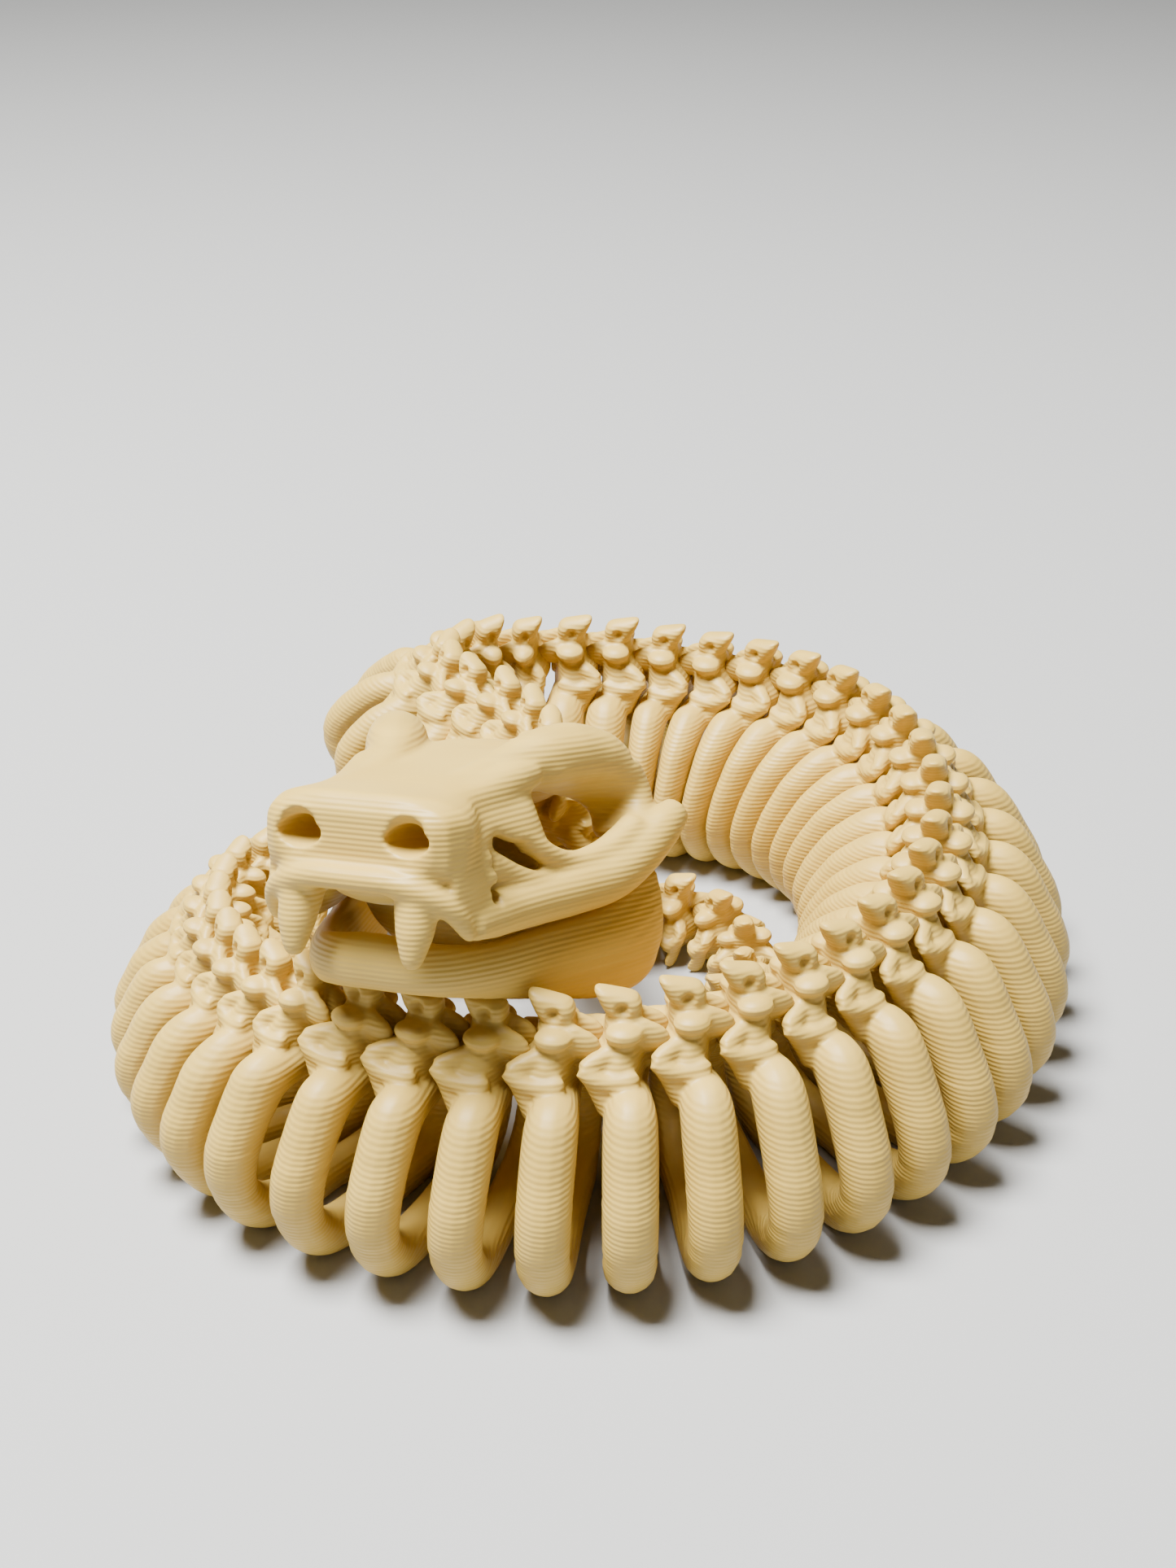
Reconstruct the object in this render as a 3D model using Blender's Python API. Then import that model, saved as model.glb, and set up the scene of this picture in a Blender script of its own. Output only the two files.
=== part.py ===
"""A python skeleton printed in links, lying in one coil with its skull on the front row.

Each printed link is one solid: a vertebra over a closed rib hoop. The links follow a body
line made of arcs, from the neck behind the skull to the tip of the tail.
Lengths named in pitches are multiples of PITCH, the distance from one link to the next.
"""

import math
from collections import namedtuple

import bmesh
import bpy
from mathutils import Euler, Matrix, Vector

# ---------------------------------------------------------------- driving dimensions
PITCH = 0.0045  # one full-size link to the next, in metres
PART_GAP = 0.07  # clearance kept between two printed pieces, in pitches
FOOT_DEPTH = 0.05  # height of the flat that each hoop stands on, in pitches

HOOP_REACH = 2.18  # from the spine's plane out to the middle of the rib's widest place
HOOP_DEPTH = 3.20  # from the middle of a vertebra down to the middle of the hoop's floor bar
RIB_HALF_LENGTH = 0.43  # half the rib's thickness along the body, on the outer side
RIB_HALF_WALL = 0.40  # half the rib's thickness across
SHORTEST_HOOP = 0.31  # links whose hoops would be smaller carry none
THINNEST_RIB = 0.45  # share of the full thickness that the smallest hoop would keep
SMALL_HOOP_DROP = 0.24  # how much lower the smallest hoop hangs than its size gives
TURN_LOSS = 0.4  # what a vertebra loses of its length for each radian of turn
BONE_SIDES = 6  # facets round a vertebra
RIB_SIDES = 5  # facets round a rib
BAR_SIDES = 8  # facets round a bar of the skull or its jaw

SKULL_PLACE = (-2.3, -4.1, 5.64)  # middle of the skull over the floor, in pitches
SKULL_HEADING = math.radians(25.5)  # turned from straight ahead towards its right
SKULL_PITCH = math.radians(17.5)  # snout raised
SKULL_ROLL = math.radians(8.2)  # left side raised

BODY_START = (-0.64, -1.57)  # the first neck link's place on the plan, in pitches
BODY_HEADING = math.radians(82.0)  # the way from the skull towards the tail there
LINK_TRAIL = math.radians(11.5)  # each link is turned so that its outer ribs trail

# A stretch of the body line: how many links, their pitch, the turn at each link (left is
# positive), and what goes evenly from its first link to its last: the roll that leans the
# spines to the inside of the coil, the size of the hoops and of the vertebrae, and the
# height at which raised links are carried.
Stretch = namedtuple("Stretch", "name links pitch turn roll hoop bone height")
STRETCHES = (
    Stretch("neck", 6, 0.96, 11.8, (0, 16), (0.34, 0.52), (0.86, 0.94), (4.95, 4.60)),
    Stretch("nape", 5, 0.96, -25.9, (18, 16), (0.64, 0.98), (0.96, 1.00), (4.50, 3.85)),
    Stretch("shoulder", 3, 0.99, -4.8, (12, 2), (1.00, 1.00), (1.00, 1.00), (3.70, 0)),
    Stretch("back", 7, 1.02, -11.1, (0, 0), (1.00, 1.00), (1.00, 1.00), (0, 0)),
    Stretch("flank", 8, 1.04, -7.8, (0, 0), (1.00, 1.00), (1.00, 1.00), (0, 0)),
    Stretch("front", 8, 1.06, -8.6, (0, 0), (1.00, 0.96), (1.00, 1.00), (0, 0)),
    Stretch("curl", 7, 0.83, -10.2, (0, 0), (0.92, 0.70), (0.99, 0.94), (0, 0)),
    Stretch("under", 4, 0.88, -22.9, (0, 0), (0.64, 0.45), (0.93, 0.92), (0, 0)),
    Stretch("tail", 5, 0.94, 8.1, (0, 0), (0.42, 0.33), (0.92, 0.95), (0, 0)),
    Stretch("tip", 5, 0.93, -33.2, (0, 0), (0.0, 0.0), (0.95, 0.70), (0, 0)),
)

# The vertebra's outline from its underside to the top of its spine:
# height, middle along the body, half length, half width.
VERTEBRA_RINGS = (
    (-0.60, 0.04, 0.28, 0.50),
    (-0.05, 0.12, 0.44, 1.00),
    (0.30, 0.00, 0.26, 0.42),
    (0.66, 0.00, 0.31, 0.56),
    (0.82, 0.02, 0.28, 0.20),
    (1.20, 0.12, 0.38, 0.19),
)
# The hoop's right half as seen from behind: aside and down, in shares of its reach and depth.
HOOP_OUTLINE = (
    (0.08, 0.04),
    (0.60, 0.14),
    (1.00, 0.60),
    (0.84, 1.00),
)

Link = namedtuple("Link", "place heading roll pitch turn hoop bone height")


# ---------------------------------------------------------------- scene and materials
def clear_scene():
    for obj in list(bpy.data.objects):
        bpy.data.objects.remove(obj, do_unlink=True)


def printed_plastic(name, colour):
    material = bpy.data.materials.new(name)
    material.use_nodes = True
    shader = material.node_tree.nodes["Principled BSDF"]
    shader.inputs["Base Color"].default_value = (*colour, 1.0)
    shader.inputs["Roughness"].default_value = 0.5
    shader.inputs["Metallic"].default_value = 0.0
    return material


# ---------------------------------------------------------------- shapes
def skin(bm, rings):
    """Closes one solid over rings of points that all run the same way round."""
    loops = [[bm.verts.new(point) for point in ring] for ring in rings]
    for low, high in zip(loops, loops[1:]):
        for i in range(len(low)):
            j = (i + 1) % len(low)
            bm.faces.new((low[i], low[j], high[j], high[i]))
    bm.faces.new(list(reversed(loops[0])))
    bm.faces.new(loops[-1])


def new_object(name, bm, material=None):
    bmesh.ops.recalc_face_normals(bm, faces=bm.faces)
    mesh = bpy.data.meshes.new(name)
    bm.to_mesh(mesh)
    bm.free()
    if material:
        mesh.materials.append(material)
    obj = bpy.data.objects.new(name, mesh)
    bpy.context.scene.collection.objects.link(obj)
    return obj


def oval(centre, across, along, half_across, half_along, sides, start=0.0):
    """Points round an oval in the plane of two directions."""
    turns = [2 * math.pi * (i + start) / sides for i in range(sides)]
    return [
        centre + across * (half_across * math.cos(t)) + along * (half_along * math.sin(t))
        for t in turns
    ]


def tube(bm, points, radii, sides=BAR_SIDES):
    """A round bar through a few points, with a radius at each."""
    points = [Vector(point) for point in points]
    rings = []
    side = Vector((0, 0, 1)).cross(points[1] - points[0])
    for i, (point, radius) in enumerate(zip(points, radii)):
        way = points[min(i + 1, len(points) - 1)] - points[max(i - 1, 0)]
        side = (side - way * (side.dot(way) / way.length_squared)).normalized()
        rings.append(oval(point, side, way.normalized().cross(side), radius, radius, sides))
    skin(bm, rings)


def guide(obj):
    obj.hide_render = True
    obj.display_type = "WIRE"
    return obj


def boolean(obj, other, operation):
    modifier = obj.modifiers.new(operation.title(), "BOOLEAN")
    modifier.operation = operation
    modifier.solver = "EXACT"
    modifier.object = other


# ---------------------------------------------------------------- body line
def between(ends, share):
    return ends[0] + (ends[1] - ends[0]) * share


def body_line():
    """Every link from the neck to the tip of the tail, in pitches on the plan."""
    links = []
    place = Vector(BODY_START)
    heading = BODY_HEADING
    for stretch in STRETCHES:
        turn = math.radians(stretch.turn)
        for i in range(stretch.links):
            if links:
                heading += turn / 2
                place = place + stretch.pitch * Vector((math.cos(heading), math.sin(heading)))
                heading += turn / 2
            share = i / max(stretch.links - 1, 1)
            links.append(
                Link(
                    place.copy(),
                    heading,
                    math.radians(between(stretch.roll, share)),
                    stretch.pitch,
                    abs(turn),
                    between(stretch.hoop, share),
                    between(stretch.bone, share),
                    between(stretch.height, share),
                )
            )
    followers = links[1:] + links[-1:]
    return [
        link._replace(pitch=min(link.pitch, after.pitch), turn=max(link.turn, after.turn))
        for link, after in zip(links, followers)
    ]


# ---------------------------------------------------------------- one link
def vertebra_points(link):
    """Rings of the vertebra in the link's own frame: +X to the tail, +Y to the coil's outside."""
    length = link.pitch * (1 - TURN_LOSS * link.turn)
    rings = []
    for height, middle, half_length, half_width in VERTEBRA_RINGS:
        centre = Vector((middle * length, 0, height * link.bone))
        rings.append(
            oval(
                centre,
                Vector((0, 1, 0)),
                Vector((1, 0, 0)),
                half_width * link.bone,
                half_length * length * link.bone,
                BONE_SIDES,
            )
        )
    return rings


def hoop_points(link):
    """Rings along the rib hoop, from its inner top round the floor bar to its outer top."""
    reach = HOOP_REACH * link.hoop
    depth = between((SMALL_HOOP_DROP, HOOP_DEPTH), link.hoop)
    outer = [Vector((0, reach * aside, -depth * down)) for aside, down in HOOP_OUTLINE]
    inner = [Vector((0, -point.y, point.z)) for point in outer]
    centres = inner + list(reversed(outer))
    size = between((THINNEST_RIB, 1), link.hoop)
    rings = []
    for i, centre in enumerate(centres):
        way = centres[min(i + 1, len(centres) - 1)] - centres[max(i - 1, 0)]
        across = way.normalized().cross(Vector((1, 0, 0)))
        sideways = centre.y * math.cos(link.roll) - centre.z * math.sin(link.roll)
        room = link.pitch * math.cos(LINK_TRAIL) + link.turn * sideways - PART_GAP
        half_length = min(RIB_HALF_LENGTH * size, room / 2)
        half_wall = RIB_HALF_WALL * size
        along = Vector((1, 0, 0))
        rings.append(oval(centre, across, along, half_wall, half_length, RIB_SIDES, 0.5))
    return rings


def build_link(name, link, material):
    """Stands one link on the floor, or carries it where it is raised, and flattens its foot."""
    parts = [vertebra_points(link)]
    if link.hoop > SHORTEST_HOOP:
        parts.append(hoop_points(link))
    rotation = Euler((link.roll, 0, link.heading - LINK_TRAIL))
    turning = rotation.to_matrix()
    lowest = min((turning @ point).z for rings in parts for ring in rings for point in ring)
    height = max(link.height, -lowest - FOOT_DEPTH)
    up = turning.transposed() @ Vector((0, 0, 1))
    pieces = []
    for rings in parts:
        bm = bmesh.new()
        skin(bm, [[(p + up * max(0, -height - p.dot(up))) * PITCH for p in ring] for ring in rings])
        pieces.append(new_object(name if not pieces else f"{name}_hoop", bm, material))
        pieces[-1].location = Vector((*link.place, height)) * PITCH
        pieces[-1].rotation_euler = rotation
    for hoop in pieces[1:]:
        boolean(pieces[0], guide(hoop), "UNION")
    return pieces[0]


def build_body(material):
    number = 0
    links = iter(body_line())
    for stretch in STRETCHES:
        for _ in range(stretch.links):
            number += 1
            build_link(f"link_{number:02d}_{stretch.name}", next(links), material)


# ---------------------------------------------------------------- skull and jaw
# Points in pitches in the skull's frame: +X to the snout, +Y to its left, +Z up.
SNOUT_SECTIONS = (  # along, half width, underside, top
    (3.08, 1.25, 0.45, 1.30),
    (2.90, 1.62, 0.10, 1.58),
    (2.30, 1.72, 0.00, 1.68),
    (1.50, 1.42, 0.30, 1.66),
    (0.80, 1.12, 0.80, 1.70),
    (-0.60, 1.05, 1.20, 1.82),
    (-1.90, 1.45, 1.35, 1.95),
)
# Round bars of the left side: their middle points and the radius at each.
LIP = (
    ((3.10, 0.0, 0.24), (3.02, 0.8, 0.18), (2.75, 1.45, -0.08), (2.28, 1.72, -0.42)),
    (0.26, 0.26, 0.27, 0.26),
)
CHEEK = (
    (
        (2.35, 1.62, -0.20),
        (1.20, 1.72, -0.22),
        (0.00, 2.05, -0.12),
        (-1.30, 2.55, 0.20),
        (-2.60, 3.00, 0.90),
    ),
    (0.40, 0.36, 0.38, 0.42, 0.36),
)
BROW = (
    (
        (1.40, 1.00, 1.45),
        (0.30, 1.28, 1.72),
        (-0.80, 1.52, 1.98),
        (-1.60, 1.90, 1.98),
        (-2.10, 2.40, 1.62),
    ),
    (0.28, 0.30, 0.36, 0.40, 0.36),
)
REAR_POST = (((-2.10, 2.42, 1.60), (-2.30, 2.50, 1.10), (-1.75, 2.50, 0.40)), (0.34, 0.28, 0.30))
EYE_SILL = (
    ((1.30, 1.20, 1.05), (0.55, 1.72, 0.62), (-0.50, 2.08, 0.40), (-1.40, 2.45, 0.45)),
    (0.26, 0.22, 0.22, 0.26),
)
FANG = (
    ((2.70, 1.00, 0.40), (2.92, 1.00, -0.02), (3.08, 0.98, -0.45), (3.10, 0.98, -0.86)),
    (0.34, 0.31, 0.25, 0.12),
)
NOSTRIL = (((3.5, 0.95, 1.10), (2.55, 0.85, 1.00)), (0.30, 0.16))
# Rounded masses: middle and radii.
BRAINCASE = ((-1.35, 0, 1.20), (1.05, 0.80, 0.62))
OCCIPUT = ((-2.15, 0, 0.80), (0.42, 0.42, 0.42))
JAW_STATIONS = (  # along, aside, underside, top, from the chin to the rear corner
    (2.34, 0.00, -1.40, -0.78),
    (2.22, 0.80, -1.44, -0.78),
    (1.60, 1.32, -1.53, -0.76),
    (0.20, 1.80, -1.85, -0.66),
    (-1.20, 2.22, -2.12, -0.42),
    (-2.20, 2.42, -2.25, 0.10),
)
JAW_HALF_WALL = 0.24
SKULL_VOXEL = 0.13  # grain of the skull's merged surface, in pitches
SKULL_SHARE = 0.07  # share of its faces that the solid keeps


def mirrored(points):
    return [(x, -y, z) for x, y, z in points]


def both_sides(bm, bar):
    points, radii = bar
    tube(bm, points, radii)
    tube(bm, mirrored(points), radii)


def ball(bm, centre, radii):
    made = bmesh.ops.create_uvsphere(bm, u_segments=16, v_segments=10, radius=1.0)
    bmesh.ops.scale(bm, vec=Vector(radii), verts=made["verts"])
    bmesh.ops.translate(bm, vec=Vector(centre), verts=made["verts"])


def rounded_section(along, half_width, low, high, sides=16):
    """A section across the skull, between an oval and a rectangle."""
    middle = (low + high) / 2
    points = []
    for i in range(sides):
        t = 2 * math.pi * (i + 0.5) / sides
        side = math.copysign(abs(math.cos(t)) ** 0.5, math.cos(t))
        rise = math.copysign(abs(math.sin(t)) ** 0.5, math.sin(t))
        points.append(Vector((along, half_width * side, middle + (high - low) / 2 * rise)))
    return points


def merge_shapes(obj):
    """Melts the joined shapes into one surface and thins its faces."""
    remesh = obj.modifiers.new("Merge", "REMESH")
    remesh.mode = "VOXEL"
    remesh.voxel_size = SKULL_VOXEL * PITCH
    thin = obj.modifiers.new("Thin", "DECIMATE")
    thin.ratio = SKULL_SHARE


def scaled(bm):
    bmesh.ops.scale(bm, vec=Vector((PITCH, PITCH, PITCH)), verts=bm.verts)
    return bm


def build_skull(material):
    bm = bmesh.new()
    skin(bm, [rounded_section(*section) for section in SNOUT_SECTIONS])
    for bar in (LIP, CHEEK, BROW, REAR_POST, EYE_SILL):
        both_sides(bm, bar)
    ball(bm, *BRAINCASE)
    ball(bm, *OCCIPUT)
    skull = new_object("skull", scaled(bm), material)
    merge_shapes(skull)
    for name, bar, operation in (
        ("fangs", FANG, "UNION"),
        ("nostril_cutter", NOSTRIL, "DIFFERENCE"),
    ):
        bm = bmesh.new()
        both_sides(bm, bar)
        boolean(skull, guide(new_object(name, scaled(bm))), operation)


def build_jaw(material):
    stations = [(x, -y, low, high) for x, y, low, high in reversed(JAW_STATIONS[1:])]
    stations += JAW_STATIONS
    rings = []
    for i, (x, y, low, high) in enumerate(stations):
        before = stations[max(i - 1, 0)]
        after = stations[min(i + 1, len(stations) - 1)]
        way = Vector((after[0] - before[0], after[1] - before[1], 0)).normalized()
        across = Vector((way.y, -way.x, 0))
        centre = Vector((x, y, (low + high) / 2))
        half_height = (high - low) / 2
        up = Vector((0, 0, 1))
        rings.append(oval(centre, across, up, JAW_HALF_WALL, half_height, BAR_SIDES))
    bm = bmesh.new()
    skin(bm, rings)
    new_object("lower_jaw", scaled(bm), material)


def skull_pose():
    """The frame that carries the skull and its jaw."""
    forward = Vector((-math.sin(SKULL_HEADING), -math.cos(SKULL_HEADING), 0))
    left = Vector((math.cos(SKULL_HEADING), -math.sin(SKULL_HEADING), 0))
    level = Matrix((forward, left, Vector((0, 0, 1)))).transposed()
    tilt = Matrix.Rotation(-SKULL_PITCH, 3, "Y") @ Matrix.Rotation(SKULL_ROLL, 3, "X")
    frame = bpy.data.objects.new("skull_pose", None)
    frame.matrix_world = Matrix.Translation(Vector(SKULL_PLACE) * PITCH) @ (level @ tilt).to_4x4()
    bpy.context.scene.collection.objects.link(frame)
    return frame


# ---------------------------------------------------------------- whole part
def centre_on_floor():
    """Moves everything so that the middle of the plan's box is the origin."""
    bpy.context.view_layer.update()
    graph = bpy.context.evaluated_depsgraph_get()
    corners = []
    for obj in bpy.data.objects:
        if obj.type == "MESH" and not obj.hide_render:
            shown = obj.evaluated_get(graph)
            corners += [shown.matrix_world @ vertex.co for vertex in shown.data.vertices]
    middle = [
        (min(c[axis] for c in corners) + max(c[axis] for c in corners)) / 2 for axis in (0, 1)
    ]
    shift = Vector((*middle, 0))
    for obj in bpy.data.objects:
        if obj.parent is None:
            obj.location = obj.location - shift


def build():
    clear_scene()
    bone = printed_plastic("bone_plastic", (0.80, 0.64, 0.39))
    build_body(bone)
    frame = skull_pose()
    build_skull(bone)
    build_jaw(bone)
    for name in ("skull", "lower_jaw", "fangs", "nostril_cutter"):
        bpy.data.objects[name].parent = frame
    centre_on_floor()


build()
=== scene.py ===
"""Looks of a python skeleton printed in links: bone-coloured plastic, one piece for each link."""

import math
from collections import namedtuple

import bpy
import numpy as np
from bpy.props import FloatProperty, FloatVectorProperty, PointerProperty
from bpy.types import Operator, Panel, PropertyGroup
from mathutils import Euler, Matrix, Vector


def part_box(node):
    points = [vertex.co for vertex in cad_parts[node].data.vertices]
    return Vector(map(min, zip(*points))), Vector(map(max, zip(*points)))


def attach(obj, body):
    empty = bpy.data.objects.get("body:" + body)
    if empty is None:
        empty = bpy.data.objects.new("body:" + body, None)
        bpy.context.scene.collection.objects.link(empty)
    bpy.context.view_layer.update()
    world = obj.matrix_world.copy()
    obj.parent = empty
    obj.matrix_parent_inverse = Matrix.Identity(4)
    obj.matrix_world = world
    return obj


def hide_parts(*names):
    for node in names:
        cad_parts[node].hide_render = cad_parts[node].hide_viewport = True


bl_info = {
    "name": "Printed python skeleton",
    "version": (1, 0, 0),
    "blender": (4, 5, 0),
    "location": "3D View > Sidebar > Skeleton",
    "description": "Models the links, the skull and the jaw of a printed python skeleton",
    "category": "Object",
}

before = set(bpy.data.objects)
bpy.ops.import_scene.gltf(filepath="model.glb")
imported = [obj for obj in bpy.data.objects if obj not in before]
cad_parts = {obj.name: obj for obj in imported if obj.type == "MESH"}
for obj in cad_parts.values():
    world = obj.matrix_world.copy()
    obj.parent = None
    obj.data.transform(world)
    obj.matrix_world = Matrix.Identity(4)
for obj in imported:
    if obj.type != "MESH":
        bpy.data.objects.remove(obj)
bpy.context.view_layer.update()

# ---------------------------------------------------------------- places and measures
PITCH = 0.0045  # one full-size link to the next, in metres; other lengths are in pitches
LAYER = 0.082  # spacing of the printed lines that show
PART_GAP = 0.035  # taken off the room that a link is narrowed to
INWARD_LEAN = math.radians(5.0)  # vertebrae lean to the inside of the coil
HOOP_REACH = 2.18
HOOP_DEPTH = 3.20
SMALL_HOOP_DROP = 0.24
THINNEST_RIB = 0.45
SHORTEST_HOOP = 0.31
BODY_START = (-0.64, -1.57)
BODY_HEADING = math.radians(82.0)
LINK_TRAIL = math.radians(11.5)
PLAN_SHIFT = (-0.254, -0.261)  # from the ring's own middle to the model's origin
SKULL_PLACE = (-2.3, -4.1, 5.64)
SKULL_HEADING = math.radians(25.5)
SKULL_PITCH = math.radians(17.5)
SKULL_ROLL = math.radians(8.2)

# Name, links, pitch, turn at each link, and from first to last link: roll, hoop, vertebra and tuck.
Stretch = namedtuple("Stretch", "name links pitch turn roll hoop bone tuck")
STRETCHES = (
    Stretch("neck", 6, 0.96, 11.8, (0, 16), (0.34, 0.52), (0.86, 0.94), (0, 0)),
    Stretch("nape", 5, 0.96, -25.9, (18, 16), (0.64, 0.98), (0.96, 1.00), (0, 0)),
    Stretch("shoulder", 3, 0.99, -4.8, (12, 2), (1.00, 1.00), (1.00, 1.00), (0, 0)),
    Stretch("back", 7, 1.02, -11.1, (0, 0), (1.00, 1.00), (1.00, 1.00), (0, 0)),
    Stretch("flank", 8, 1.04, -7.8, (0, 0), (1.00, 1.00), (1.00, 1.00), (0, 0)),
    Stretch("front", 8, 1.06, -8.6, (0, 0), (1.00, 0.96), (1.00, 1.00), (0, 0.10)),
    Stretch("curl", 7, 0.83, -10.2, (0, 0), (0.92, 0.70), (0.99, 0.94), (0.13, 0.13)),
    Stretch("under", 4, 0.88, -22.9, (0, 0), (0.64, 0.45), (0.93, 0.92), (0, 0)),
    Stretch("tail", 5, 0.94, 8.1, (0, 0), (0.42, 0.33), (0.92, 0.95), (0, 0)),
    Stretch("tip", 5, 0.93, -33.2, (0, 0), (0.0, 0.0), (0.95, 0.70), (0, 0)),
)
Link = namedtuple("Link", "node place heading roll pitch turn hoop bone tuck")

# ---------------------------------------------------------------- shapes of one link
# The hoop's right half from its top to the middle of its floor bar: aside, down, radius.
HOOP_LINE = (
    (0.00, 0.50, 0.30),
    (0.40, 0.44, 0.34),
    (0.72, 0.41, 0.38),
    (0.98, 0.41, 0.42),
    (1.18, 0.48, 0.44),
    (1.46, 0.74, 0.45),
    (1.80, 1.22, 0.45),
    (2.06, 1.70, 0.45),
    (2.17, 2.12, 0.44),
    (2.06, 2.54, 0.43),
    (1.74, 2.90, 0.42),
    (1.30, 3.11, 0.40),
    (0.70, 3.18, 0.38),
    (0.00, 3.19, 0.36),
)
HOOP_CLASSES = (1.0, 0.86, 0.73, 0.61, 0.49, 0.37)
RIB_LENGTH = 0.86
BELL_LENGTH = 1.00
BELL_LAP = 0.14  # share that a bell keeps beyond its room, so that it cuts into the next one
BELL_PITCH = 1.02  # bells of links closer than this are shortened at their tail end
BELL_SQUEEZE = 1.6  # how strongly they are shortened
BELL_LOW = (-0.4, 0.1)  # heights between which the rib's narrowing turns into the bell's
RIB_TO_BONE = (-0.5, -0.1)  # heights between which a hoop's scaling turns into the vertebra's
LEAN_FROM = (-0.9, 0.1)  # heights between which the vertebra's lean sets in
TUCK_FROM = (-1.0, -2.6)  # heights between which a hoop is drawn in
NARROWEST = 0.35  # least share of a length that narrowing leaves
SPINE_TOP = (0.14, 0, 1.20)  # the point of a vertebra that stands as high as its solid
LAYER_OFFSET = 17.3  # layers from one link's pattern to the next one's
LINK_SOFTENING = 8
UNEVEN_LINES = 26
LINE_WIDTHS = (0.03, 0.06)
LINE_RISE = 0.012
LINE_SEED = 7
DENT_PLACE = (0.13, 0.26, 1.00)
DENT_RADIUS = 0.15
DENT_DEPTH = 0.12

# ---------------------------------------------------------------- how fine the pieces are
LINK_FACES = 24000  # triangles kept for a link
SKULL_FACES = 170000

# ---------------------------------------------------------------- plastic
CLOUD_SCALE = 120
STREAK_SCALE = 0.55
STREAK_STRENGTH = 0.18
LINE_SHARE = 0.6  # strength of the even lines beside the streaks
ROUGHER = 0.10
SMOOTHER = 0.08

# ---------------------------------------------------------------- stage
LIGHTS = (  # name, place, side, watts
    ("key_light", (-0.15, 0.0, 0.52), 0.22, 14.6),
    ("fill_light", (0.30, -0.45, 0.30), 0.45, 0.2),
)
LIGHT_AIM = (0, 0, 0.01)
ROOM_COLOUR = (1.0, 0.99, 0.97, 1)
ROOM_STRENGTH = 0.05
FLOOR_ROUGHNESS = 0.8
CAMERA_PLACE = (-0.001143, -0.148099, 0.1062)
CAMERA_TILT = math.radians(60)
SENSOR_WIDTH = 36
NEAREST_SEEN = 0.005


def between(ends, share):
    return ends[0] + (ends[1] - ends[0]) * share


def smooth_step(low, high, value):
    share = np.clip((value - low) / (high - low), 0, 1)
    return share * share * (3 - 2 * share)


# ---------------------------------------------------------------- modelling helpers
def deselect():
    if bpy.context.mode != "OBJECT":
        bpy.ops.object.mode_set(mode="OBJECT")
    bpy.ops.object.select_all(action="DESELECT")


def choose(obj):
    deselect()
    obj.select_set(True)
    bpy.context.view_layer.objects.active = obj
    return obj


def bar(points, radii):
    """A round bar through a few points, closed at its ends."""
    deselect()
    bpy.ops.curve.primitive_bezier_curve_add()
    made = bpy.context.object
    spline = made.data.splines[0]
    spline.bezier_points.add(len(points) - 2)
    for knot, point, radius in zip(spline.bezier_points, points, radii):
        knot.co = point
        knot.radius = radius
        knot.handle_left_type = "AUTO"
        knot.handle_right_type = "AUTO"
    made.data.dimensions = "3D"
    made.data.bevel_depth = 1.0
    made.data.bevel_resolution = 5
    made.data.resolution_u = 8
    made.data.use_fill_caps = True
    bpy.ops.object.convert(target="MESH")
    return bpy.context.object


def lump(centre, radii, turn=(0, 0, 0)):
    """A rounded mass that a neighbour will melt into."""
    deselect()
    bpy.ops.mesh.primitive_uv_sphere_add(
        segments=32, ring_count=20, radius=1.0, location=centre, scale=radii, rotation=turn
    )
    made = bpy.context.object
    bpy.ops.object.transform_apply(location=True, rotation=True, scale=True)
    return made


def slab(centre, sides, round_off, shaping=None):
    """A block with rounded edges; shaping moves its corners first."""
    deselect()
    bpy.ops.mesh.primitive_cube_add(size=1.0, location=centre, scale=sides)
    made = bpy.context.object
    bpy.ops.object.transform_apply(location=True, rotation=True, scale=True)
    if shaping:
        for corner in made.data.vertices:
            shaping(corner)
    choose(made)
    bpy.ops.object.mode_set(mode="EDIT")
    bpy.ops.mesh.select_all(action="SELECT")
    bpy.ops.mesh.bevel(offset=round_off, segments=4, affect="EDGES")
    bpy.ops.object.mode_set(mode="OBJECT")
    return made


def sheet(rows, thickness):
    """A smooth curved plate through rows of points."""
    deselect()
    bpy.ops.mesh.primitive_grid_add(x_subdivisions=len(rows[0]) - 1, y_subdivisions=len(rows) - 1)
    made = bpy.context.object
    for corner, point in zip(made.data.vertices, [point for row in rows for point in row]):
        corner.co = point
    rounding = made.modifiers.new("Round", "SUBSURF")
    rounding.levels = 3
    bpy.ops.object.modifier_apply(modifier=rounding.name)
    wall = made.modifiers.new("Wall", "SOLIDIFY")
    wall.thickness = thickness
    wall.offset = 0
    bpy.ops.object.modifier_apply(modifier=wall.name)
    return made


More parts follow.
